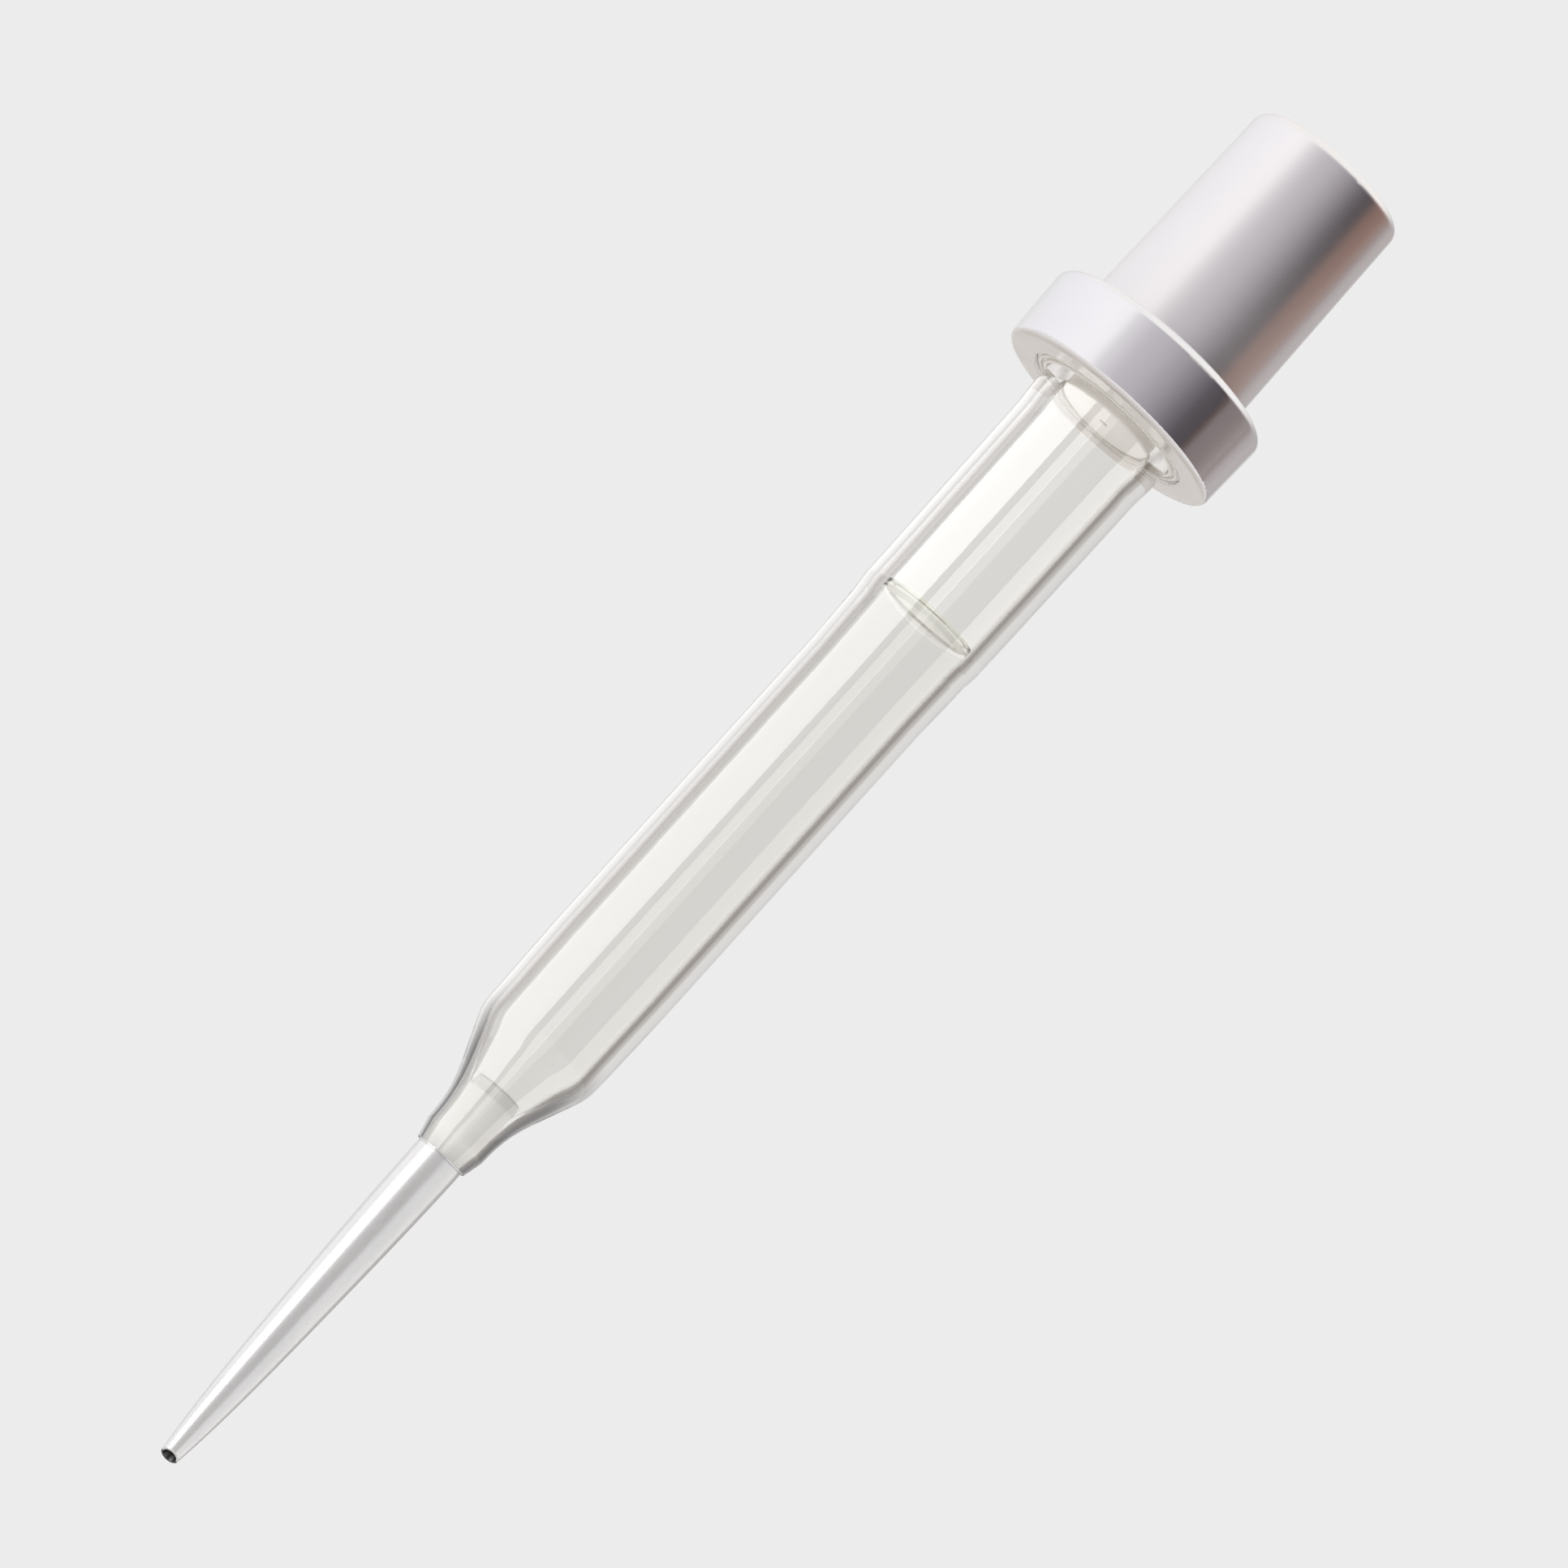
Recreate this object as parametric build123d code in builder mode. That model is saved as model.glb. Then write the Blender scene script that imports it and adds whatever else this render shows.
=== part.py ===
"""Push-button volumetric pipette: a sprung button on a collar, a thick glass barrel and a tapered tip.

Millimetres. +Z runs up the pipette's axis, from the open tip to the button. The origin is on the axis
in the plane of the collar's flat underside, which is the face that rests on a rack or a vial's neck.
Every piece is turned about the axis, so its profile is drawn as (radius, height) in the XZ plane. Only
the tip's open end isn't round the axis: it is cut at a slant that faces -Y.
"""

import math
import os

from build123d import *

# Collar: the outer shell, its flat underside and the ring pressed into its mouth
COLLAR_H = 6.5
COLLAR_R_LOW = 9.82
COLLAR_R_HIGH = 10.05
COLLAR_BOTTOM_ROUND = 0.5
COLLAR_TOP_ROUND = 0.85
CAVITY_R = 8.4
COLLAR_FLOOR = 0.9
OPENING_R = 7.2
OPENING_ROUND = 0.15
MOUTH_R = 7.5
MOUTH_RING_LOW = 5.6
MOUTH_DIP = 0.2
MOUTH_ROUND = 0.12
SEAT_GAP = 0.02

# Button: the outer shell and the core inside it, with its guide sleeve, flange and pusher
BUTTON_TOP = 26.1
BUTTON_R_LOW = 7.3
BUTTON_R_HIGH = 6.99
BUTTON_WALL = 0.7
BUTTON_EDGE_ROUND = 0.9
BUTTON_DOME = 0.25
SLEEVE_WALL = 0.5
FLANGE_R = 8.2
FLANGE_LOW = 4.75
FLANGE_H = 0.75
CORE_ROOF_H = 0.7
PUSHER_R = 3.4
PUSHER_LOW = 21.5
RIB_COUNT = 6
RIB_W = 0.7
RIB_H = 1.2

# Carrier plate, bulb and the ring that clamps the bulb's foot
CARRIER_H = 0.7
BOSS_H = 0.6
AIR_BORE_R = 1.2
BULB_R = 4.9
BULB_WALL = 0.7
BULB_TOP = 21.2
BULB_DOME_ROUND = 3.2
BULB_FOOT_R = 5.5
BULB_FOOT_H = 0.8
CLAMP_R = 5.85
CLAMP_INNER_R = 5.0
CLAMP_TOP = 3.05
CLAMP_GROOVE = 0.35

# Gasket round the barrel's mouth, and the plug that holds and seals the barrel
GASKET_LOW = 0.3
GASKET_BORE_R = 6.13
GASKET_LIP = 0.28
GASKET_LIP_ROUND = 0.1
RIDGE_R = 6.7
RIDGE_W = 0.22
RIDGE_H = 0.2
RIDGE_ROUND = 0.08
PLUG_LOW = -0.35
PLUG_HEAD_LOW = 0.5
PLUG_HEAD_R = 6.0
PLUG_ROUND = 0.2
PLUG_BORE_R = 0.4
PLUG_GAP = 0.03

# Glass barrel, from its mouth down to the nozzle
BARREL_TOP = 0.35
FLARE_R = 6.05
FLARE_LOW = -1.8
NECK_R = 5.9
NECK_Z = -3.4
FLARE_ROUND = 10.0
ABOVE_STEP_R = 5.76
ABOVE_STEP_Z = -21.2
BELOW_STEP_R = 5.6
BELOW_STEP_Z = -22.7
STEP_ROUND = 1.2
GRIP_R = 5.47
GRIP_TOP = -27.5
GRIP_LOW = -56.5
SHOULDER_R = 5.32
SHOULDER_TOP = -64.9
SHOULDER_LOW = -71.1
SHOULDER_TOP_ROUND = 5.0
SHOULDER_LOW_ROUND = 11.0
NOZZLE_R = 2.73
LIP_R = 2.65
LIP_TOP = -73.8
LIP_END_R = 2.26
LIP_ROUND = 0.5
NOZZLE_END = -75.4
BORE_R = 4.19
BORE_SHOULDER_TOP = -65.1
BORE_SHOULDER_LOW = -70.0
BORE_SHOULDER_ROUND = 3.0
NOZZLE_BORE_R = 2.05

# Liquid standing up to the fill step, with a concave meniscus and a pocket round the tip's shank
LIQUID_GAP = 0.03
MENISCUS_MID = -21.75
MENISCUS_EDGE = -20.95
POCKET_R = 2.02
POCKET_LOW = -69.8

# Tip: a tapered tube whose shank goes up into the nozzle
TIP_SHOULDER_R = 2.05
TIP_SHOULDER = -75.55
TIP_BODY = ((1.94, -83.0), (1.71, -90.2), (1.42, -97.4), (1.04, -102.8))
TIP_LONGEST_R = 0.7
TIP_LONGEST = -105.8
TIP_CUT = -105.35
TIP_CUT_SLANT = 25
TIP_MOUTH_R = 0.58
TIP_BORE_R = 1.3
TIP_BORE_BULGE = 0.14
SHANK_R = 1.99
SHANK_TOP = -68.8
SHANK_ROUND = 0.25

# Worked out from the sizes above
CAVITY_FIT_R = CAVITY_R - SEAT_GAP
CARRIER_TOP = COLLAR_FLOOR + CARRIER_H
BULB_INNER_R = BULB_R - BULB_WALL
FOOT_TOP = CARRIER_TOP + BULB_FOOT_H
DOME_START_R = BULB_R - BULB_DOME_ROUND
DOME_END = BULB_TOP - BULB_DOME_ROUND
DOME_INNER = BULB_TOP - BULB_WALL
BUTTON_INNER_R = BUTTON_R_LOW - BUTTON_WALL
BUTTON_SHOULDER = BUTTON_TOP - BUTTON_DOME
BUTTON_ROOF = BUTTON_SHOULDER - BUTTON_WALL
SLEEVE_R = BUTTON_INNER_R - SEAT_GAP
SLEEVE_INNER_R = SLEEVE_R - SLEEVE_WALL
FLANGE_TOP = FLANGE_LOW + FLANGE_H
CORE_TOP = BUTTON_ROOF - SEAT_GAP
CORE_ROOF = CORE_TOP - CORE_ROOF_H
RIDGE_LOW = GASKET_LOW - RIDGE_H
PLUG_R = BORE_R - PLUG_GAP
LIQUID_R = BORE_R - LIQUID_GAP
TIP_MIDDLE = (TIP_LONGEST + TIP_SHOULDER) / 2

os.makedirs("parts", exist_ok=True)


def corner(sketch, radius, height):
    """The corner of a profile that lies at this radius and height."""
    return sketch.vertices().sort_by_distance((radius, height))[0]


def save(builder, label):
    """Labels a finished piece and writes it as its own STEP file."""
    builder.part.label = label
    export_step(builder.part, f"parts/{label}.step")


# The collar's shell is a cup, open at the top, with the barrel's opening in its floor.
with BuildPart() as collar_shell:
    with BuildSketch(Plane.XZ) as profile:
        with BuildLine():
            Polyline(
                (OPENING_R, 0),
                (COLLAR_R_LOW, 0),
                (COLLAR_R_HIGH, COLLAR_H),
                (CAVITY_R, COLLAR_H),
                (CAVITY_R, COLLAR_FLOOR),
                (OPENING_R, COLLAR_FLOOR),
                close=True,
            )
        make_face()
        fillet(corner(profile, OPENING_R, 0), OPENING_ROUND)
        fillet(corner(profile, COLLAR_R_LOW, 0), COLLAR_BOTTOM_ROUND)
        fillet(corner(profile, COLLAR_R_HIGH, COLLAR_H), COLLAR_TOP_ROUND)
    revolve(axis=Axis.Z)
save(collar_shell, "collar_shell")

# The mouth ring presses into the shell, guides the button and keeps its flange in.
with BuildPart() as mouth_ring:
    with BuildSketch(Plane.XZ) as profile:
        with BuildLine():
            Polyline(
                (MOUTH_R, MOUTH_RING_LOW),
                (CAVITY_FIT_R, MOUTH_RING_LOW),
                (CAVITY_FIT_R, COLLAR_H),
                (MOUTH_R, COLLAR_H - MOUTH_DIP),
                close=True,
            )
        make_face()
        fillet(corner(profile, MOUTH_R, COLLAR_H - MOUTH_DIP), MOUTH_ROUND)
    revolve(axis=Axis.Z)
save(mouth_ring, "mouth_ring")

# The carrier is the plate in the collar that holds the bulb above it and the plug below it.
with BuildPart() as carrier:
    with BuildSketch(Plane.XY.offset(COLLAR_FLOOR)):
        Circle(CAVITY_FIT_R)
    extrude(amount=CARRIER_H)
    with BuildSketch(Plane.XY.offset(CARRIER_TOP)):
        Circle(BULB_INNER_R - SEAT_GAP)
    extrude(amount=BOSS_H)
    with BuildSketch(Plane.XY.offset(CARRIER_TOP)):
        Circle(CLAMP_R + SEAT_GAP)
        Circle(BULB_FOOT_R, mode=Mode.SUBTRACT)
    extrude(amount=-CLAMP_GROOVE, mode=Mode.SUBTRACT)
    with BuildSketch(Plane.XY.offset(COLLAR_FLOOR)):
        Circle(AIR_BORE_R)
    extrude(amount=CARRIER_H + BOSS_H, mode=Mode.SUBTRACT)
save(carrier, "carrier")

# The gasket fills the opening in the collar's floor, with a soft lip round the barrel and a ridge outside it.
with BuildPart() as gasket:
    with BuildSketch(Plane.XZ) as profile:
        with BuildLine():
            Polyline(
                (GASKET_BORE_R, GASKET_LOW - GASKET_LIP),
                (GASKET_BORE_R + GASKET_LIP, GASKET_LOW - GASKET_LIP),
                (GASKET_BORE_R + GASKET_LIP, GASKET_LOW),
                (RIDGE_R, GASKET_LOW),
                (RIDGE_R, RIDGE_LOW),
                (RIDGE_R + RIDGE_W, RIDGE_LOW),
                (RIDGE_R + RIDGE_W, GASKET_LOW),
                (OPENING_R - SEAT_GAP, GASKET_LOW),
                (OPENING_R - SEAT_GAP, COLLAR_FLOOR),
                (GASKET_BORE_R, COLLAR_FLOOR),
                close=True,
            )
        make_face()
        for radius in (GASKET_BORE_R, GASKET_BORE_R + GASKET_LIP):
            fillet(corner(profile, radius, GASKET_LOW - GASKET_LIP), GASKET_LIP_ROUND)
        for radius in (RIDGE_R, RIDGE_R + RIDGE_W):
            fillet(corner(profile, radius, RIDGE_LOW), RIDGE_ROUND)
    revolve(axis=Axis.Z)
save(gasket, "gasket")

# The plug stands in the barrel's mouth, with its head above the rim and the air channel through it.
with BuildPart() as plug:
    with BuildSketch(Plane.XZ) as profile:
        with BuildLine():
            Polyline(
                (PLUG_BORE_R, PLUG_LOW),
                (PLUG_R, PLUG_LOW),
                (PLUG_R, PLUG_HEAD_LOW),
                (PLUG_HEAD_R, PLUG_HEAD_LOW),
                (PLUG_HEAD_R, COLLAR_FLOOR),
                (PLUG_BORE_R, COLLAR_FLOOR),
                close=True,
            )
        make_face()
        fillet(corner(profile, PLUG_R, PLUG_LOW), PLUG_ROUND)
    revolve(axis=Axis.Z)
save(plug, "plug")

# The bulb is a thin teat with a foot flange; the button squeezes it and it pushes the button back.
with BuildPart() as bulb:
    with BuildSketch(Plane.XZ):
        with BuildLine():
            Line((0, BULB_TOP), (DOME_START_R, BULB_TOP))
            TangentArc((DOME_START_R, BULB_TOP), (BULB_R, DOME_END), tangent=(1, 0))
            Polyline(
                (BULB_R, DOME_END),
                (BULB_R, FOOT_TOP),
                (BULB_FOOT_R, FOOT_TOP),
                (BULB_FOOT_R, CARRIER_TOP),
                (BULB_INNER_R, CARRIER_TOP),
                (BULB_INNER_R, DOME_END),
            )
            TangentArc((BULB_INNER_R, DOME_END), (DOME_START_R, DOME_INNER), tangent=(0, 1))
            Polyline((DOME_START_R, DOME_INNER), (0, DOME_INNER), (0, BULB_TOP))
        make_face()
    revolve(axis=Axis.Z)
save(bulb, "bulb")

# The clamp ring snaps into the carrier's groove and holds the bulb's foot down.
with BuildPart() as clamp_ring:
    with BuildSketch(Plane.XZ) as profile:
        with BuildLine():
            Polyline(
                (BULB_FOOT_R + SEAT_GAP, CARRIER_TOP - CLAMP_GROOVE + SEAT_GAP),
                (CLAMP_R, CARRIER_TOP - CLAMP_GROOVE + SEAT_GAP),
                (CLAMP_R, CLAMP_TOP),
                (CLAMP_INNER_R, CLAMP_TOP),
                (CLAMP_INNER_R, FOOT_TOP + SEAT_GAP),
                (BULB_FOOT_R + SEAT_GAP, FOOT_TOP + SEAT_GAP),
                close=True,
            )
        make_face()
    revolve(axis=Axis.Z)
save(clamp_ring, "clamp_ring")

# The button's core: guide sleeve, the flange under the mouth ring, roof, ribs and pusher.
with BuildPart() as button_core:
    with BuildSketch(Plane.XZ):
        with BuildLine():
            Polyline(
                (SLEEVE_INNER_R, FLANGE_LOW),
                (FLANGE_R, FLANGE_LOW),
                (FLANGE_R, FLANGE_TOP),
                (SLEEVE_R, FLANGE_TOP),
                (SLEEVE_R, CORE_TOP),
                (0, CORE_TOP),
                (0, PUSHER_LOW),
                (PUSHER_R, PUSHER_LOW),
                (PUSHER_R, CORE_ROOF),
                (SLEEVE_INNER_R, CORE_ROOF),
                close=True,
            )
        make_face()
    revolve(axis=Axis.Z)
    with BuildSketch(Plane.XY.offset(CORE_ROOF)):
        with PolarLocations((PUSHER_R + SLEEVE_INNER_R) / 2, RIB_COUNT):
            Rectangle(SLEEVE_INNER_R - PUSHER_R + SLEEVE_WALL, RIB_W)
    extrude(amount=-RIB_H)
save(button_core, "button_core")

# The button's shell is a slightly tapered cap with a rounded top edge and a shallow dome.
with BuildPart() as button_shell:
    with BuildSketch(Plane.XZ) as profile:
        with BuildLine():
            Polyline(
                (0, BUTTON_TOP),
                (0, BUTTON_ROOF),
                (BUTTON_INNER_R, BUTTON_ROOF),
                (BUTTON_INNER_R, FLANGE_TOP + SEAT_GAP),
                (BUTTON_R_LOW, FLANGE_TOP + SEAT_GAP),
                (BUTTON_R_LOW, COLLAR_H),
                (BUTTON_R_HIGH, BUTTON_SHOULDER),
            )
            TangentArc((0, BUTTON_TOP), (BUTTON_R_HIGH, BUTTON_SHOULDER), tangent=(1, 0))
        make_face()
        fillet(corner(profile, BUTTON_R_HIGH, BUTTON_SHOULDER), BUTTON_EDGE_ROUND)
    revolve(axis=Axis.Z)
save(button_shell, "button_shell")

# The glass barrel: flared mouth, fill step, grip, shoulder and nozzle, with one bore through it.
with BuildPart() as glass_barrel:
    with BuildSketch(Plane.XZ) as profile:
        with BuildLine():
            Polyline(
                (BORE_R, BARREL_TOP),
                (FLARE_R, BARREL_TOP),
                (FLARE_R, FLARE_LOW),
                (NECK_R, NECK_Z),
                (ABOVE_STEP_R, ABOVE_STEP_Z),
                (BELOW_STEP_R, BELOW_STEP_Z),
                (GRIP_R, GRIP_TOP),
                (GRIP_R, GRIP_LOW),
                (SHOULDER_R, SHOULDER_TOP),
                (NOZZLE_R, SHOULDER_LOW),
                (LIP_R, LIP_TOP),
                (LIP_END_R, NOZZLE_END),
                (NOZZLE_BORE_R, NOZZLE_END),
                (NOZZLE_BORE_R, BORE_SHOULDER_LOW),
                (BORE_R, BORE_SHOULDER_TOP),
                close=True,
            )
        make_face()
        fillet(corner(profile, FLARE_R, FLARE_LOW), FLARE_ROUND)
        fillet(corner(profile, NECK_R, NECK_Z), FLARE_ROUND)
        fillet(corner(profile, ABOVE_STEP_R, ABOVE_STEP_Z), STEP_ROUND)
        fillet(corner(profile, BELOW_STEP_R, BELOW_STEP_Z), STEP_ROUND)
        fillet(corner(profile, SHOULDER_R, SHOULDER_TOP), SHOULDER_TOP_ROUND)
        fillet(corner(profile, NOZZLE_R, SHOULDER_LOW), SHOULDER_LOW_ROUND)
        fillet(corner(profile, LIP_R, LIP_TOP), LIP_ROUND)
        fillet(corner(profile, NOZZLE_BORE_R, BORE_SHOULDER_LOW), BORE_SHOULDER_ROUND)
        fillet(corner(profile, BORE_R, BORE_SHOULDER_TOP), BORE_SHOULDER_ROUND)
    revolve(axis=Axis.Z)
save(glass_barrel, "glass_barrel")

# The liquid fills the barrel's bore from round the tip's shank up to the fill step.
with BuildPart() as liquid_fill:
    with BuildSketch(Plane.XZ) as profile:
        with BuildLine():
            TangentArc((0, MENISCUS_MID), (LIQUID_R, MENISCUS_EDGE), tangent=(1, 0))
            Polyline(
                (LIQUID_R, MENISCUS_EDGE),
                (LIQUID_R, BORE_SHOULDER_TOP),
                (POCKET_R + LIQUID_GAP, POCKET_LOW),
                (POCKET_R, POCKET_LOW),
                (POCKET_R, SHANK_TOP + LIQUID_GAP),
                (0, SHANK_TOP + LIQUID_GAP),
                (0, MENISCUS_MID),
            )
        make_face()
        fillet(corner(profile, LIQUID_R, BORE_SHOULDER_TOP), BORE_SHOULDER_ROUND)
    revolve(axis=Axis.Z)
save(liquid_fill, "liquid_fill")

# The tip tapers to its slanted open end; its shank stands in the nozzle, its shoulder under the lip.
with BuildPart() as tip:
    with BuildSketch(Plane.XZ) as profile:
        with BuildLine():
            Spline((TIP_SHOULDER_R, TIP_SHOULDER), *TIP_BODY, (TIP_LONGEST_R, TIP_LONGEST))
            Polyline(
                (TIP_SHOULDER_R, TIP_SHOULDER),
                (SHANK_R, TIP_SHOULDER),
                (SHANK_R, SHANK_TOP),
                (TIP_BORE_R, SHANK_TOP),
                (TIP_BORE_R, TIP_SHOULDER),
            )
            ThreePointArc(
                (TIP_BORE_R, TIP_SHOULDER),
                ((TIP_MOUTH_R + TIP_BORE_R) / 2 + TIP_BORE_BULGE, TIP_MIDDLE),
                (TIP_MOUTH_R, TIP_LONGEST),
            )
            Line((TIP_MOUTH_R, TIP_LONGEST), (TIP_LONGEST_R, TIP_LONGEST))
        make_face()
        fillet(corner(profile, SHANK_R, SHANK_TOP), SHANK_ROUND)
    revolve(axis=Axis.Z)
    upward = (0, math.sin(math.radians(TIP_CUT_SLANT)), math.cos(math.radians(TIP_CUT_SLANT)))
    split(bisect_by=Plane((0, 0, TIP_CUT), z_dir=upward), keep=Keep.TOP)
save(tip, "tip")
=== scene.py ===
"""Looks for the push-button volumetric pipette: materials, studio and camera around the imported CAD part.

Metres, in the part's own frame: +Z runs up the pipette's axis and the collar's underside is at zero.
The camera looks along +Y from a little below, so -X is the left of the pipette and +X is its right.
"""

import math

import bmesh
import bpy
import numpy
from mathutils import Matrix, Vector


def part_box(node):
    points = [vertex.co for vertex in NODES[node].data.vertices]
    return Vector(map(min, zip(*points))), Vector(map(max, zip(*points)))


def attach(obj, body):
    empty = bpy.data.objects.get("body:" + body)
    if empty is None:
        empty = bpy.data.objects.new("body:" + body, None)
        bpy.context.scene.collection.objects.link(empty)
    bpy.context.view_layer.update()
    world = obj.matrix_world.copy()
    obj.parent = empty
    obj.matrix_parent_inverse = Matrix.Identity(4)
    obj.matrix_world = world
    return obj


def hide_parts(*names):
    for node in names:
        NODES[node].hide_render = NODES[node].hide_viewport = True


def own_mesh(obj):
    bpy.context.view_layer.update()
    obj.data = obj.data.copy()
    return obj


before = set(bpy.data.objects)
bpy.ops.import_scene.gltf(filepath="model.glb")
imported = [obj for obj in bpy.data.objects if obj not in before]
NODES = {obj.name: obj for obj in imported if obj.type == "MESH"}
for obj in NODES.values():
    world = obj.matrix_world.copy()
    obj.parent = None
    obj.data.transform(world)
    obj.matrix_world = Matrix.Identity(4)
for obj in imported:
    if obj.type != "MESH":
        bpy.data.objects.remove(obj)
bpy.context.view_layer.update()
MM = 0.001

# ---------------------------------------------------------------- sizes of the stage
LENS = 200.0
SENSOR = 36.0
LOOK_UP = math.radians(9.0)
AXIS_TILT = math.radians(47.88)
FRAME_WIDTH = 117.7 * MM
AIM = Vector((0.4, 0.0, -37.3)) * MM

FLOOR_DROP = 0.62
FLOOR_RADIUS = 9.0
FLOOR_GLOW = 0.09
FLOOR_LIGHT = (0.93, 0.93, 0.925)
FLOOR_DARK = (0.90, 0.90, 0.895)

STRIP_DISTANCE = 0.45
STRIP_HEIGHT = 1.1
STRIP_MIDDLE = 0.03

# Radiance of the light tent by direction: degrees round the pipette from the camera's side, with the
# right of the pipette positive, and the colour there
TENT = (
    (-180, (0.76, 0.755, 0.745)),
    (-160, (0.78, 0.775, 0.77)),
    (-145, (0.86, 0.855, 0.86)),
    (-118, (0.92, 0.91, 0.94)),
    (-60, (1.00, 0.98, 1.00)),
    (-47, (0.97, 0.95, 0.96)),
    (-38, (0.74, 0.72, 0.74)),
    (-20, (0.54, 0.52, 0.55)),
    (0, (0.46, 0.44, 0.47)),
    (20, (0.32, 0.30, 0.32)),
    (38, (0.165, 0.15, 0.17)),
    (52, (0.075, 0.065, 0.075)),
    (67, (0.052, 0.043, 0.047)),
    (71, (0.12, 0.080, 0.075)),
    (95, (0.17, 0.115, 0.105)),
    (112, (0.26, 0.21, 0.20)),
    (125, (0.43, 0.39, 0.385)),
    (140, (0.48, 0.45, 0.45)),
    (158, (0.45, 0.42, 0.42)),
    (168, (0.72, 0.71, 0.70)),
    (180, (0.76, 0.755, 0.745)),
)
TENT_TOP = (0.95, 0.93, 0.91)
TENT_TOP_START = 0.40
TENT_TOP_FULL = 0.75
BACKDROP = (0.84, 0.84, 0.84)
THROUGH_GLASS = (0.76, 0.755, 0.745)

# ---------------------------------------------------------------- sizes of the materials
WHITE = (1.0, 1.0, 1.0)
GLASS_INDEX = 1.06
LIQUID_INDEX = 1.03
WATER_INDEX = 1.33
COAT_INDEX = 1.5
# The glass is a little less glossy where liquid lies behind it
WET_GLOSS = 0.74
DRY_RISE = 0.1 * MM
# Painted shade in the glass's colour by how edge-on its outer face is seen, standing in for a thick wall's
# dark bands: on the tube, and on the shoulder and nozzle
WALL_LINE = (
    (0.28, (1.0, 1.0, 1.0)),
    (0.335, (0.42, 0.39, 0.37)),
    (0.40, (0.48, 0.45, 0.43)),
    (0.45, (1.0, 1.0, 1.0)),
)
SHOULDER_LINE = (
    (0.27, (1.0, 1.0, 1.0)),
    (0.35, (0.42, 0.40, 0.39)),
    (0.50, (0.22, 0.215, 0.22)),
    (0.62, (0.26, 0.26, 0.27)),
    (0.74, (0.80, 0.80, 0.80)),
    (0.86, (1.0, 1.0, 1.0)),
)
# Painted shade on the liquid's clinging rim, by how edge-on it is seen
RIM_LINE = (
    (0.55, (1.0, 1.0, 1.0)),
    (0.80, (0.42, 0.40, 0.36)),
    (0.95, (0.2, 0.18, 0.15)),
)
# Heights above the liquid's lowest point over which the shoulder's line gives way to the tube's
SHOULDER_BLEND = (2.0 * MM, 8.0 * MM)
# Heights under the collar over which the tube's line fades out
COLLAR_BLEND = (-1.2 * MM, 0.2 * MM)
# Heights round the nozzle's end over which the tip turns from its grey body, a painted shade, to the paler
# shank, a painted light
SHANK_BLEND = (-0.5 * MM, 1.0 * MM)
LACQUER_DEPTH = 0.02 * MM
GRAIN_DEPTH = 0.01 * MM
SOFT_DEPTH = 1.2 * MM

# ---------------------------------------------------------------- sizes of the turned pieces
TURN_STEPS = 72
EASE_STEPS = 4
SHARP_ANGLE = math.radians(35.0)
# How squarely a CAD face has to look away from the axis, or towards it, to count as a side wall
WALL_LEAN = 0.6

MENISCUS_RISE = 0.8 * MM
RIM_WIDTH = 0.75 * MM
RIM_CLIMB = 0.5 * MM
RIM_CURVE = 2.2
RIM_GAP = 0.01 * MM
RIM_STEPS = 8

TIP_SLANT = math.radians(25.0)
TIP_SEAT_GAP = 0.15 * MM
TIP_SPARE = 0.3 * MM
TIP_EASE = 0.05 * MM
SHANK_EASE = 0.25 * MM
TIP_STEPS = 60

BULB_CLEAR = 0.02 * MM
BULB_FOOT_REACH = 0.6 * MM
BULB_FOOT = 0.76 * MM
BULB_WALL = 0.7 * MM
BULB_DOME = 3.2 * MM
BULB_EASE = 0.2 * MM
BULB_MIDDLE = 0.02 * MM
DOME_STEPS = 16


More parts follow.
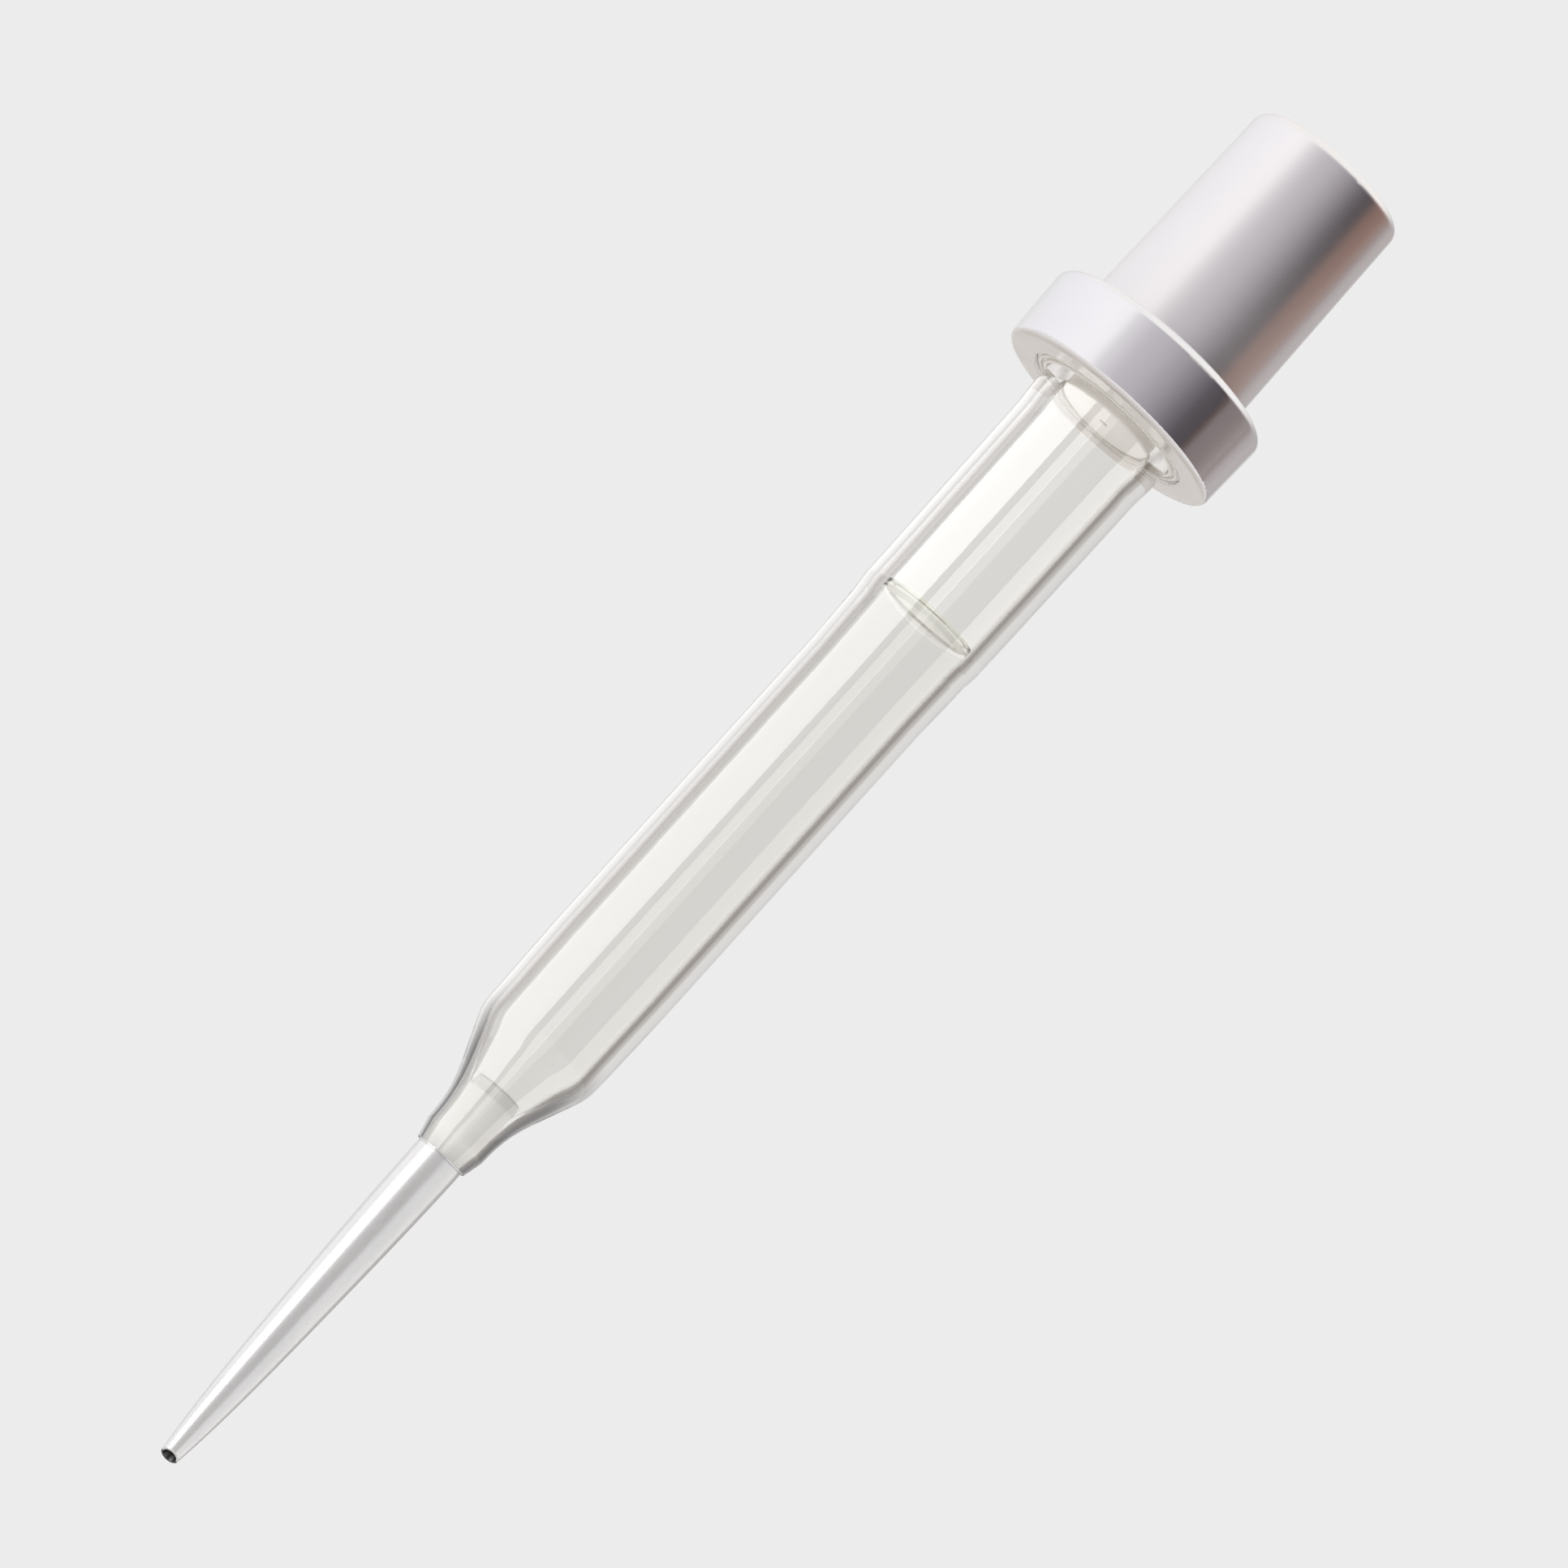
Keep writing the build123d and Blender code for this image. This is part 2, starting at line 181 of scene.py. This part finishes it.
# ---------------------------------------------------------------- node calls
class Nodes:
    """Short forms for the few node calls that every material here uses."""

    def __init__(self, tree):
        self.tree = tree
        tree.nodes.clear()

    def add(self, kind, **settings):
        node = self.tree.nodes.new(kind)
        for name, value in settings.items():
            setattr(node, name, value)
        return node

    def link(self, start, end):
        self.tree.links.new(start, end)

    def math(self, operation, first, second=None):
        node = self.add("ShaderNodeMath", operation=operation)
        for socket, value in zip(node.inputs, (first, second)):
            if isinstance(value, (int, float)):
                socket.default_value = value
            elif value is not None:
                self.link(value, socket)
        return node.outputs[0]

    def mixed(self, factor, first, second):
        """A colour mix; each colour is a socket or three numbers."""
        node = self.add("ShaderNodeMix", data_type="RGBA")
        self.link(factor, node.inputs["Factor"])
        for socket, colour in ((node.inputs["A"], first), (node.inputs["B"], second)):
            if isinstance(colour, tuple):
                socket.default_value = (*colour, 1.0)
            else:
                self.link(colour, socket)
        return node.outputs["Result"]

    def multiplied(self, first, second):
        """Two colours multiplied."""
        node = self.add("ShaderNodeMix", data_type="RGBA", blend_type="MULTIPLY")
        node.inputs["Factor"].default_value = 1.0
        self.link(first, node.inputs["A"])
        self.link(second, node.inputs["B"])
        return node.outputs["Result"]

    def ramp(self, factor, stops):
        """A colour ramp through (place, colour) stops."""
        node = self.add("ShaderNodeValToRGB")
        elements = node.color_ramp.elements
        while len(elements) > 1:
            elements.remove(elements[-1])
        elements[0].position = stops[0][0]
        elements[0].color = (*stops[0][1], 1.0)
        for place, colour in stops[1:]:
            elements.new(place).color = (*colour, 1.0)
        self.link(factor, node.inputs[0])
        return node.outputs[0]

    def between(self, value, dark, light):
        """A ramp from a dark tone to a light one over the middle of a noise."""
        return self.ramp(value, ((0.3, dark), (0.7, light)))

    def scale_range(self, value, low, high):
        """Stretches 0 to 1 to another range."""
        node = self.add("ShaderNodeMapRange")
        self.link(value, node.inputs["Value"])
        node.inputs["To Min"].default_value = low
        node.inputs["To Max"].default_value = high
        return node.outputs["Result"]

    def smooth_step(self, value, start, end):
        """Runs smoothly from 0 to 1 as a value goes from start to end."""
        node = self.add("ShaderNodeMapRange", interpolation_type="SMOOTHSTEP")
        self.link(value, node.inputs["Value"])
        node.inputs["From Min"].default_value = start
        node.inputs["From Max"].default_value = end
        return node.outputs["Result"]

    def separated(self, vector):
        """The X, Y and Z of a vector."""
        node = self.add("ShaderNodeSeparateXYZ")
        self.link(vector, node.inputs[0])
        return node.outputs

    def noise(self, coords, scale, detail=2.0):
        node = self.add("ShaderNodeTexNoise")
        self.link(coords, node.inputs["Vector"])
        node.inputs["Scale"].default_value = scale
        node.inputs["Detail"].default_value = detail
        return node.outputs["Fac"]

    def cells(self, coords, scale):
        node = self.add("ShaderNodeTexVoronoi")
        self.link(coords, node.inputs["Vector"])
        node.inputs["Scale"].default_value = scale
        return node.outputs["Color"]

    def place(self):
        """Object coordinates."""
        return self.add("ShaderNodeTexCoord").outputs["Object"]

    def stretched(self, stretch=(1.0, 1.0, 1.0)):
        """Object coordinates, multiplied along each axis."""
        mapping = self.add("ShaderNodeMapping")
        mapping.inputs["Scale"].default_value = stretch
        self.link(self.place(), mapping.inputs["Vector"])
        return mapping.outputs["Vector"]

    def height_share(self, low, high):
        """Runs smoothly from 0 to 1 between two heights on the axis."""
        return self.smooth_step(self.separated(self.place())["Z"], low, high)

    def bump(self, height, strength, distance):
        node = self.add("ShaderNodeBump")
        node.inputs["Strength"].default_value = strength
        node.inputs["Distance"].default_value = distance
        self.link(height, node.inputs["Height"])
        return node.outputs["Normal"]


def empty_material(material):
    """Clears a material and gives back its node tree and a fresh shader."""
    material.use_nodes = True
    n = Nodes(material.node_tree)
    shader = n.add("ShaderNodeBsdfPrincipled")
    n.link(shader.outputs[0], n.add("ShaderNodeOutputMaterial").inputs["Surface"])
    return n, shader


def principled(node_name):
    """A CAD node's own material, cleared."""
    return empty_material(NODES[node_name].data.materials[0])


# ---------------------------------------------------------------- camera, floor and light
def add_camera():
    """A long lens a little below the pipette, rolled so that its axis runs up to the right."""
    distance = FRAME_WIDTH * LENS / SENSOR
    look = Vector((0.0, math.cos(LOOK_UP), math.sin(LOOK_UP)))
    up = Vector((0.0, -math.sin(LOOK_UP), math.cos(LOOK_UP)))
    side = Vector((1.0, 0.0, 0.0))
    image_x = math.cos(AXIS_TILT) * up + math.sin(AXIS_TILT) * side
    image_y = math.sin(AXIS_TILT) * up - math.cos(AXIS_TILT) * side
    turn = Matrix((image_x, image_y, -look)).transposed()
    data = bpy.data.cameras.new("camera")
    data.lens = LENS
    data.sensor_width = SENSOR
    data.clip_start = 0.01
    data.clip_end = 100.0
    camera = bpy.data.objects.new("camera", data)
    camera.matrix_world = Matrix.Translation(AIM - look * distance) @ turn.to_4x4()
    bpy.context.scene.collection.objects.link(camera)
    bpy.context.scene.camera = camera


def add_world():
    """A light tent: white on the left, a dark gap and a warm card on the right, a soft top light.

    It shows in gloss and lights the matt surfaces. The camera, and rays that pass through glass, see
    one plain tone each."""
    world = bpy.data.worlds.new("light_tent")
    world.use_nodes = True
    bpy.context.scene.world = world
    n = Nodes(world.node_tree)
    direction = n.separated(n.add("ShaderNodeTexCoord").outputs["Generated"])
    towards_camera = n.math("MULTIPLY", direction["Y"], -1.0)
    turn = n.math("ARCTAN2", direction["X"], towards_camera)
    share = n.math("MULTIPLY_ADD", turn, 1.0 / math.tau)
    share.node.inputs[2].default_value = 0.5
    tent = n.ramp(share, [((degrees + 180.0) / 360.0, colour) for degrees, colour in TENT])
    height = n.smooth_step(direction["Z"], TENT_TOP_START, TENT_TOP_FULL)
    with_top = n.mixed(height, tent, TENT_TOP)
    path = n.add("ShaderNodeLightPath")
    through = n.mixed(path.outputs["Is Transmission Ray"], with_top, THROUGH_GLASS)
    seen = n.mixed(path.outputs["Is Camera Ray"], through, BACKDROP)
    background = n.add("ShaderNodeBackground")
    n.link(seen, background.inputs["Color"])
    n.link(background.outputs[0], n.add("ShaderNodeOutputWorld").inputs["Surface"])


def add_floor():
    """A plain pale floor, well below the hanging pipette."""
    bpy.ops.mesh.primitive_circle_add(vertices=128, radius=FLOOR_RADIUS, fill_type="NGON")
    floor = bpy.context.object
    floor.name = "floor"
    floor.location.z = -FLOOR_DROP
    material = bpy.data.materials.new("floor_paper")
    n, shader = empty_material(material)
    grain = n.noise(n.stretched(), 3.0)
    n.link(n.ramp(grain, ((0.0, FLOOR_DARK), (1.0, FLOOR_LIGHT))), shader.inputs["Base Color"])
    shader.inputs["Roughness"].default_value = 0.8
    shader.inputs["Emission Color"].default_value = (*WHITE, 1.0)
    shader.inputs["Emission Strength"].default_value = FLOOR_GLOW
    floor.data.materials.append(material)


def fade_ends(data, fade):
    """Dims a strip smoothly towards both of its upright sides."""
    data.use_nodes = True
    n = Nodes(data.node_tree)
    across = n.separated(n.add("ShaderNodeNewGeometry").outputs["Parametric"])["X"]
    from_middle = n.math("ABSOLUTE", n.math("SUBTRACT", across, 0.5))
    strength = n.smooth_step(from_middle, 0.5 - fade, 0.5)
    strength.node.inputs["To Min"].default_value = 1.0
    strength.node.inputs["To Max"].default_value = 0.0
    glow = n.add("ShaderNodeEmission")
    n.link(strength, glow.inputs["Strength"])
    n.link(glow.outputs[0], n.add("ShaderNodeOutputLight").inputs["Surface"])


def add_strip(name, start, end, radiance, colour, receiver, fade=0.0):
    """A tall strip light from one direction round the axis to another, seen only in one piece's gloss.

    Directions are in degrees as in TENT. Its power is set from the radiance wanted; fade is the
    share of its width over which it dims towards each side."""
    middle = math.radians((start + end) / 2.0)
    width = 2.0 * STRIP_DISTANCE * math.tan(math.radians(abs(end - start)) / 2.0)
    data = bpy.data.lights.new(name, "AREA")
    data.shape = "RECTANGLE"
    data.size = width
    data.size_y = STRIP_HEIGHT
    data.energy = radiance * math.pi * width * STRIP_HEIGHT
    data.color = colour
    if fade:
        fade_ends(data, fade)
    lamp = bpy.data.objects.new(name, data)
    away = Vector((math.sin(middle), -math.cos(middle), 0.0)) * STRIP_DISTANCE
    place = Vector((0.0, 0.0, STRIP_MIDDLE)) + away
    lamp.matrix_world = Matrix.Translation(place) @ away.to_track_quat("Z", "Y").to_matrix().to_4x4()
    lamp.visible_camera = False
    lamp.visible_diffuse = False
    lamp.visible_transmission = False
    bpy.context.scene.collection.objects.link(lamp)
    group = bpy.data.collections.new(f"{name}_receivers")
    group.objects.link(receiver)
    lamp.light_linking.receiver_collection = group


def add_lights(tip):
    """Strips that show as long highlights on the glass, the tip, the collar and the button."""
    warm = (1.0, 0.975, 0.94)
    glass = NODES["glass_barrel"]
    add_strip("glass_left", -84, -27, 6.5, WHITE, glass)
    add_strip("glass_left_line", -122, -90, 4.0, WHITE, glass, fade=0.2)
    add_strip("glass_edge", -160, -124, 1.0, WHITE, glass, fade=0.2)
    add_strip("glass_front", -15, 0, 3.6, warm, glass)
    add_strip("glass_middle", -2, 14, 1.6, warm, glass)
    add_strip("glass_right", 56, 96, 3.2, warm, glass)
    add_strip("tip_left", -84, -32, 9.0, WHITE, tip, fade=0.2)
    add_strip("tip_left_edge", -135, -70, 2.0, WHITE, tip, fade=0.4)
    add_strip("tip_right", 20, 128, 3.0, (0.98, 0.99, 1.0), tip, fade=0.25)
    add_strip("collar_right", 71, 114, 0.085, (0.80, 0.93, 1.0), NODES["collar_shell"], fade=0.1)
    add_strip("button_warm", 70, 116, 0.085, (1.0, 0.45, 0.25), NODES["button_shell"], fade=0.2)


# ---------------------------------------------------------------- materials
def lacquer(n, shader, light, dark, roughness, flake, peel, relief=0.12):
    """Pearl lacquer: fine flakes, a soft cloud of tone and a little peel. Gives back its colour."""
    coords = n.stretched()
    flakes = n.cells(coords, flake)
    cloud = n.noise(coords, 140.0, 3.0)
    tone = n.math("ADD", n.math("MULTIPLY", flakes, 0.2), n.math("MULTIPLY", cloud, 0.8))
    n.link(n.scale_range(tone, roughness + 0.03, roughness - 0.03), shader.inputs["Roughness"])
    shader.inputs["Coat Weight"].default_value = 0.3
    shader.inputs["Coat Roughness"].default_value = 0.08
    surface = n.noise(coords, peel)
    n.link(n.bump(surface, relief, LACQUER_DEPTH), shader.inputs["Normal"])
    return n.ramp(tone, ((0.25, dark), (0.75, light)))


def button_finish():
    """Satin pearl, less metallic and so paler towards the collar: a painted brightening for the light the
    collar throws up onto it.
    """
    n, shader = principled("button_shell")
    light = (0.935, 0.92, 0.925)
    dark = (0.915, 0.90, 0.90)
    colour = lacquer(n, shader, light, dark, roughness=0.24, flake=7000.0, peel=900.0, relief=0.02)
    n.link(colour, shader.inputs["Base Color"])
    collar_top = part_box("collar_shell")[1][2]
    button_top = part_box("button_shell")[1][2]
    share = n.height_share(collar_top, button_top)
    # Painted light: metallic falls towards the collar so the lower button reads brighter
    n.link(n.scale_range(share, 0.80, 0.99), shader.inputs["Metallic"])


def collar_finish():
    """Glossy pearl on the side; the flat underside is a darker, less metallic cream, a painted shade."""
    n, shader = principled("collar_shell")
    light = (0.93, 0.92, 0.94)
    dark = (0.90, 0.89, 0.91)
    colour = lacquer(n, shader, light, dark, roughness=0.12, flake=9000.0, peel=500.0)
    normal = n.separated(n.add("ShaderNodeNewGeometry").outputs["Normal"])
    down = n.smooth_step(n.math("MULTIPLY", normal["Z"], -1.0), 0.15, 0.95)
    cloud = n.noise(n.stretched(), 300.0, 3.0)
    # Painted shade: faces that look down are darkened to cream and made less metallic, where shade falls
    # under the collar
    cream = n.between(cloud, (0.60, 0.555, 0.52), (0.65, 0.61, 0.575))
    n.link(n.mixed(down, colour, cream), shader.inputs["Base Color"])
    n.link(n.scale_range(down, 0.95, 0.4), shader.inputs["Metallic"])


def ring_finish():
    """The mouth ring's cream gloss."""
    n, shader = principled("mouth_ring")
    light = (0.95, 0.93, 0.90)
    dark = (0.92, 0.90, 0.87)
    colour = lacquer(n, shader, light, dark, roughness=0.14, flake=9000.0, peel=500.0)
    n.link(colour, shader.inputs["Base Color"])
    shader.inputs["Metallic"].default_value = 0.7


def moulded(n, shader, light, dark, roughness, soft=0.0):
    """Moulded plastic or rubber: a faint cloud in the colour and a fine grain in the gloss.

    Soft is how much light passes through it."""
    coords = n.stretched()
    n.link(n.between(n.noise(coords, 220.0, 3.0), dark, light), shader.inputs["Base Color"])
    grain = n.noise(coords, 5200.0, 1.0)
    n.link(n.scale_range(grain, roughness - 0.05, roughness + 0.06), shader.inputs["Roughness"])
    n.link(n.bump(grain, 0.1, GRAIN_DEPTH), shader.inputs["Normal"])
    shader.inputs["Subsurface Weight"].default_value = soft
    shader.inputs["Subsurface Radius"].default_value = (1.0, 0.95, 0.85)
    shader.inputs["Subsurface Scale"].default_value = SOFT_DEPTH


def entering(n):
    """1 where light meets the front of a face and 0 where it comes from inside the piece."""
    return n.math("SUBTRACT", 1.0, n.add("ShaderNodeNewGeometry").outputs["Backfacing"])


def facing_outward(n):
    """1 on faces that look away from the axis and 0 on faces that look towards it, such as a bore."""
    flat = n.add("ShaderNodeVectorMath", operation="MULTIPLY")
    n.link(n.place(), flat.inputs[0])
    flat.inputs[1].default_value = (1.0, 1.0, 0.0)
    outward = n.add("ShaderNodeVectorMath", operation="DOT_PRODUCT")
    n.link(flat.outputs[0], outward.inputs[0])
    n.link(n.add("ShaderNodeNewGeometry").outputs["True Normal"], outward.inputs[1])
    # The normal is turned over on faces that are met from behind
    side = n.math("SUBTRACT", n.math("MULTIPLY", entering(n), 2.0), 1.0)
    return n.math("GREATER_THAN", n.math("MULTIPLY", outward.outputs["Value"], side), 0.0)


def tip_finish(n, shader):
    """Glossy moulding in two tones of one plastic: a grey body, a painted shade, and a paler shank inside
    the glass, a painted light; the bore is painted near-black outside the glass and mid-grey inside it, a
    painted shade.
    """
    flow = n.noise(n.stretched((1.0, 1.0, 0.15)), 900.0, 3.0)
    # Painted shade: the body is a darker grey than the white plastic, for its shaded middle
    body = n.between(flow, (0.60, 0.605, 0.60), (0.66, 0.66, 0.655))
    nozzle_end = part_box("glass_barrel")[0][2]
    in_nozzle = n.height_share(nozzle_end + SHANK_BLEND[0], nozzle_end + SHANK_BLEND[1])
    # Painted light: the shank inside the glass is paler than the body
    outer = n.mixed(in_nozzle, body, (0.82, 0.82, 0.80))
    # Painted shade in the bore: near-black at the open end, mid-grey inside the glass
    bore = n.mixed(in_nozzle, (0.008, 0.008, 0.008), (0.50, 0.50, 0.49))
    outward = facing_outward(n)
    n.link(n.mixed(outward, bore, outer), shader.inputs["Base Color"])
    n.link(outward, shader.inputs["Coat Weight"])
    n.link(n.scale_range(flow, 0.32, 0.42), shader.inputs["Roughness"])
    shader.inputs["Coat Roughness"].default_value = 0.17
    shader.inputs["Coat IOR"].default_value = COAT_INDEX


def drawn_streaks(n, shader, light, dark, streaks):
    """Clear, with streaks along the axis that change the gloss a little. Gives back their colour."""
    drawn = n.noise(n.stretched((1.0, 1.0, 0.02)), streaks, 3.0)
    n.link(n.scale_range(drawn, 0.0, 0.03), shader.inputs["Roughness"])
    shader.inputs["Transmission Weight"].default_value = 1.0
    return n.between(drawn, dark, light)


def glass_finish():
    """The barrel: gloss on its outer face, and painted shade in its colour: dark lines where its thick wall
    is seen edge-on.
    """
    n, shader = principled("glass_barrel")
    colour = drawn_streaks(n, shader, (0.975, 0.97, 0.96), (0.95, 0.945, 0.93), streaks=700.0)
    liquid_low, liquid_high = [corner[2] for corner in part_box("liquid_fill")]
    outward = facing_outward(n)
    gloss = n.scale_range(n.height_share(liquid_high - DRY_RISE, liquid_high), WET_GLOSS, 1.0)
    outer_face = n.math("MULTIPLY", outward, entering(n))
    n.link(n.math("MULTIPLY", outer_face, gloss), shader.inputs["Coat Weight"])
    # Painted shade: the outer face's colour darkens in lines where it is seen edge-on
    edge_on = n.add("ShaderNodeLayerWeight").outputs["Facing"]
    upper = n.height_share(liquid_low + SHOULDER_BLEND[0], liquid_low + SHOULDER_BLEND[1])
    line = n.mixed(upper, n.ramp(edge_on, SHOULDER_LINE), n.ramp(edge_on, WALL_LINE))
    wall = n.mixed(n.height_share(*COLLAR_BLEND), line, WHITE)
    edge_on_shade = n.mixed(outward, WHITE, wall)
    n.link(n.multiplied(colour, edge_on_shade), shader.inputs["Base Color"])
    shader.inputs["IOR"].default_value = GLASS_INDEX
    shader.inputs["Coat IOR"].default_value = COAT_INDEX
    shader.inputs["Coat Roughness"].default_value = 0.05


def liquid_finish():
    """Nearly clear liquid."""
    n, shader = principled("liquid_fill")
    colour = drawn_streaks(n, shader, (0.965, 0.965, 0.96), (0.95, 0.952, 0.942), streaks=300.0)
    n.link(colour, shader.inputs["Base Color"])
    shader.inputs["IOR"].default_value = LIQUID_INDEX


def rim_finish(n, shader):
    """The liquid's clinging rim, with painted shade: its colour darkens where it is seen edge-on."""
    colour = drawn_streaks(n, shader, (0.96, 0.965, 0.93), (0.94, 0.95, 0.90), streaks=300.0)
    edge_on = n.add("ShaderNodeLayerWeight").outputs["Facing"]
    n.link(n.multiplied(colour, n.ramp(edge_on, RIM_LINE)), shader.inputs["Base Color"])
    shader.inputs["IOR"].default_value = WATER_INDEX


def dress():
    """Gives every CAD node its finished material."""
    button_finish()
    collar_finish()
    ring_finish()
    glass_finish()
    liquid_finish()
    moulded(*principled("button_core"), (0.90, 0.90, 0.88), (0.86, 0.86, 0.84), 0.45)
    moulded(*principled("carrier"), (0.88, 0.87, 0.84), (0.84, 0.83, 0.80), 0.45)
    moulded(*principled("clamp_ring"), (0.88, 0.87, 0.84), (0.84, 0.83, 0.80), 0.45)
    moulded(*principled("gasket"), (0.86, 0.83, 0.78), (0.80, 0.77, 0.72), 0.3, soft=0.2)
    moulded(*principled("plug"), (0.93, 0.905, 0.87), (0.90, 0.875, 0.84), 0.35)


# ---------------------------------------------------------------- turned pieces
def arc(middle, radius, start, end, steps):
    """Points on an arc of a profile, from one angle to another in degrees."""
    points = []
    for step in range(steps + 1):
        turn = math.radians(start + (end - start) * step / steps)
        points.append((middle[0] + radius * math.cos(turn), middle[1] + radius * math.sin(turn)))
    return points


def finish_mesh(piece, cut=None):
    """Cuts a piece off at a (point, direction) plane where asked, turns its faces outward and smooths it."""
    work = bmesh.new()
    work.from_mesh(piece.data)
    if cut:
        place, direction = cut
        everything = work.verts[:] + work.edges[:] + work.faces[:]
        bmesh.ops.bisect_plane(work, geom=everything, plane_co=place, plane_no=direction, clear_outer=True)
        rims = [edge for edge in work.edges if edge.is_boundary]
        bmesh.ops.bridge_loops(work, edges=rims)
    bmesh.ops.recalc_face_normals(work, faces=work.faces)
    work.to_mesh(piece.data)
    work.free()
    piece.data.shade_smooth()
    piece.data.set_sharp_from_angle(angle=SHARP_ANGLE)


def turned(name, profile, material, cut=None):
    """A closed profile of (radius, height) points, turned about the axis into a ring."""
    verts = []
    for step in range(TURN_STEPS):
        turn = math.tau * step / TURN_STEPS
        for radius, height in profile:
            verts.append((radius * math.cos(turn), radius * math.sin(turn), height))
    count = len(profile)
    faces = []
    for step in range(TURN_STEPS):
        here = step * count
        there = (step + 1) % TURN_STEPS * count
        for point in range(count):
            after = (point + 1) % count
            faces.append((here + point, there + point, there + after, here + after))
    mesh = bpy.data.meshes.new(name)
    mesh.from_pydata(verts, [], faces)
    mesh.materials.append(material)
    piece = bpy.data.objects.new(name, mesh)
    bpy.context.scene.collection.objects.link(piece)
    finish_mesh(piece, cut)
    return piece


def wall_radius(node_name, outward):
    """The radius of a turned CAD node's outer wall, or of its bore, as a function of height."""
    points = []
    for vertex in NODES[node_name].data.vertices:
        x, y, height = vertex.co
        radius = math.hypot(x, y)
        lean = (vertex.normal.x * x + vertex.normal.y * y) / radius
        if (lean if outward else -lean) > WALL_LEAN:
            points.append((height, radius))
    heights, radii = zip(*sorted(points))
    return lambda height: float(numpy.interp(height, heights, radii))


def add_tip():
    """The tip again as an evenly turned mesh with an eased shoulder, cut at the same slant."""
    low, high = [corner[2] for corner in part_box("tip")]
    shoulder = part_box("glass_barrel")[0][2] - TIP_SEAT_GAP
    outer = wall_radius("tip", outward=True)
    bore = wall_radius("tip", outward=False)
    end = low - TIP_SPARE
    ease = shoulder - TIP_EASE
    neck = outer((shoulder + high) / 2.0)
    profile = []
    for step in range(TIP_STEPS):
        height = end + (ease - end) * step / TIP_STEPS
        profile.append((outer(height), height))
    profile += arc((outer(ease) - TIP_EASE, ease), TIP_EASE, 0, 90, EASE_STEPS)
    profile.append((neck, shoulder))
    profile += arc((neck - SHANK_EASE, high - SHANK_EASE), SHANK_EASE, 0, 90, EASE_STEPS)
    for step in range(TIP_STEPS + 1):
        height = high + (end - high) * step / TIP_STEPS
        profile.append((bore(height), height))
    material = bpy.data.materials.new("tip_moulding")
    tip_finish(*empty_material(material))
    place = Vector((0.0, 0.0, low + outer(low) * math.tan(TIP_SLANT)))
    direction = Vector((0.0, -math.sin(TIP_SLANT), -math.cos(TIP_SLANT)))
    tip = turned("tip_body", profile, material, cut=(place, direction))
    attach(tip, "tip")
    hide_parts("tip")
    return tip


def add_meniscus():
    """The liquid's clinging rim: a thin concave wedge round the bore, on the liquid's curved top."""
    reach, _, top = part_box("liquid_fill")[1]
    bend = (reach * reach + MENISCUS_RISE * MENISCUS_RISE) / (2.0 * MENISCUS_RISE)
    bottom = top - MENISCUS_RISE

    def surface(radius):
        return bottom + bend - math.sqrt(bend * bend - radius * radius)

    wedge = []
    for step in range(RIM_STEPS + 1):
        radius = reach - RIM_WIDTH + RIM_WIDTH * step / RIM_STEPS
        wedge.append((radius, surface(radius) + RIM_GAP))
    for step in range(RIM_STEPS + 1):
        share = 1.0 - step / RIM_STEPS
        radius = reach - RIM_WIDTH + RIM_WIDTH * share
        wedge.append((radius, surface(radius) + 2.0 * RIM_GAP + RIM_CLIMB * share ** RIM_CURVE))
    material = bpy.data.materials.new("meniscus_rim")
    rim_finish(*empty_material(material))
    rim = turned("meniscus_rim", wedge, material)
    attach(rim, "barrel")


def add_bulb():
    """The silicone teat: a thin wall with a domed top and an eased foot."""
    low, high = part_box("bulb")
    foot = high[0] - BULB_CLEAR
    bottom = low[2] + BULB_CLEAR
    top = high[2] - BULB_CLEAR
    wall = foot - BULB_FOOT_REACH
    inner = wall - BULB_WALL
    dome = (wall - BULB_DOME, top - BULB_DOME)
    foot_top = bottom + BULB_FOOT
    ease = BULB_EASE
    profile = [(inner, bottom)]
    profile += arc((foot - ease, bottom + ease), ease, -90, 0, EASE_STEPS)
    profile += arc((foot - ease, foot_top - ease), ease, 0, 90, EASE_STEPS)
    profile += arc((wall + ease, foot_top + ease), ease, -90, -180, EASE_STEPS)
    profile += arc(dome, BULB_DOME, 0, 90, DOME_STEPS)
    profile.append((BULB_MIDDLE, top))
    profile.append((BULB_MIDDLE, top - BULB_WALL))
    profile += arc(dome, BULB_DOME - BULB_WALL, 90, 0, DOME_STEPS)
    material = bpy.data.materials.new("silicone_teat")
    moulded(*empty_material(material), (0.85, 0.85, 0.83), (0.80, 0.80, 0.78), 0.4, soft=0.4)
    bulb = turned("bulb_teat", profile, material)
    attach(bulb, "head")
    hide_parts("bulb")
    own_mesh(bulb)


# ---------------------------------------------------------------- the scene
add_camera()
add_world()
add_floor()
tip_piece = add_tip()
add_lights(tip_piece)
dress()
add_meniscus()
add_bulb()
bpy.context.scene.view_settings.view_transform = "Standard"
